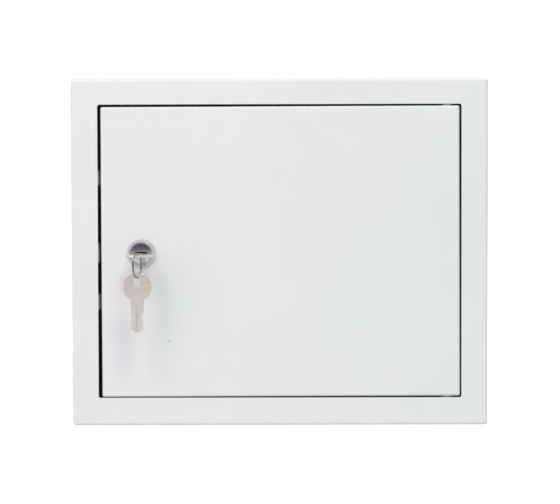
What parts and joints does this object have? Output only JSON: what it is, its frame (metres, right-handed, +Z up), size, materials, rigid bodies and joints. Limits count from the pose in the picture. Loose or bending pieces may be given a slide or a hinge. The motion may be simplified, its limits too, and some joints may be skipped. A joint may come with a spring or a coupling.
{
  "type": "steel wall enclosure",
  "caption": "White sheet steel wall box with a flush hinged door, a cam lock with two keys on a ring, and a mounting plate with a DIN rail and an earth bar inside.",
  "frame": {"origin": "centre of the back face of the case, where it meets the wall", "axes": "+X to the right as seen from the front, +Y into the wall, +Z up"},
  "size_m": [0.3, 0.1593, 0.25],
  "materials": {
    "powder_coat": "fine texture, semi-matt white powder coat",
    "zinc": "bright zinc plate",
    "galvanised": "hot-dip galvanised sheet",
    "chrome": "polished chrome plate",
    "nickel": "nickel plated brass, slightly warm",
    "brass": "drawn brass",
    "nylon": "natural nylon"
  },
  "bodies": {
    "cabinet": {"case_wrap": "powder_coat", "back_panel": "powder_coat", "keeper": "powder_coat", "door_stops": "powder_coat", "upper_hinge_bracket": "zinc", "lower_hinge_bracket": "zinc", "upper_hinge_pin": "zinc", "lower_hinge_pin": "zinc", "plate_studs": "zinc", "plate_sleeves": "zinc", "mounting_plate": "galvanised", "plate_washers": "zinc", "plate_nuts": "zinc", "din_rail": "zinc", "din_rail_screws": "zinc", "earth_bar": "brass", "earth_bar_posts": "brass", "earth_bar_bolts": "zinc", "terminal_screws": "zinc", "case_earth_stud": "zinc", "case_earth_washer": "zinc", "case_earth_nut": "zinc"},
    "door": {"door_panel": "powder_coat", "upper_hinge_bush": "nylon", "lower_hinge_bush": "nylon", "door_earth_stud": "zinc", "door_earth_washer": "zinc", "door_earth_nut": "zinc", "lock_housing": "chrome", "lock_nut": "zinc"},
    "lock_core": {"lock_plug": "chrome", "lock_cam": "zinc", "cam_washer": "zinc", "cam_screw": "zinc"},
    "key_in_lock": {"lock_key": "nickel"},
    "ring": {"key_ring": "zinc"},
    "key_on_ring": {"spare_key": "nickel"}
  },
  "joints": [
    {"name": "door_hinge", "type": "hinge", "parent": "cabinet", "child": "door", "pos_m": [0.1213, -0.1185, 0], "axis": [0, 0, 1], "range_deg": [0, 110]},
    {"name": "lock_turn", "type": "hinge", "parent": "door", "child": "lock_core", "pos_m": [-0.0996, -0.125, -0.00072], "axis": [0, 1, 0], "range_deg": [0, 90]},
    {"name": "key_pull", "type": "slide", "parent": "lock_core", "child": "key_in_lock", "axis": [0, -1, 0], "range_m": [0, 0.024]},
    {"name": "ring_swing", "type": "hinge", "parent": "key_in_lock", "child": "ring", "pos_m": [-0.1, -0.15032, -0.00001], "axis": [0.2419, 0.9703, 0], "range_deg": [-12, 12]},
    {"name": "spare_key_swing", "type": "hinge", "parent": "ring", "child": "key_on_ring", "pos_m": [-0.09996, -0.15032, -0.01701], "axis": [0, 1, 0], "range_deg": [-25, 25]}
  ]
}
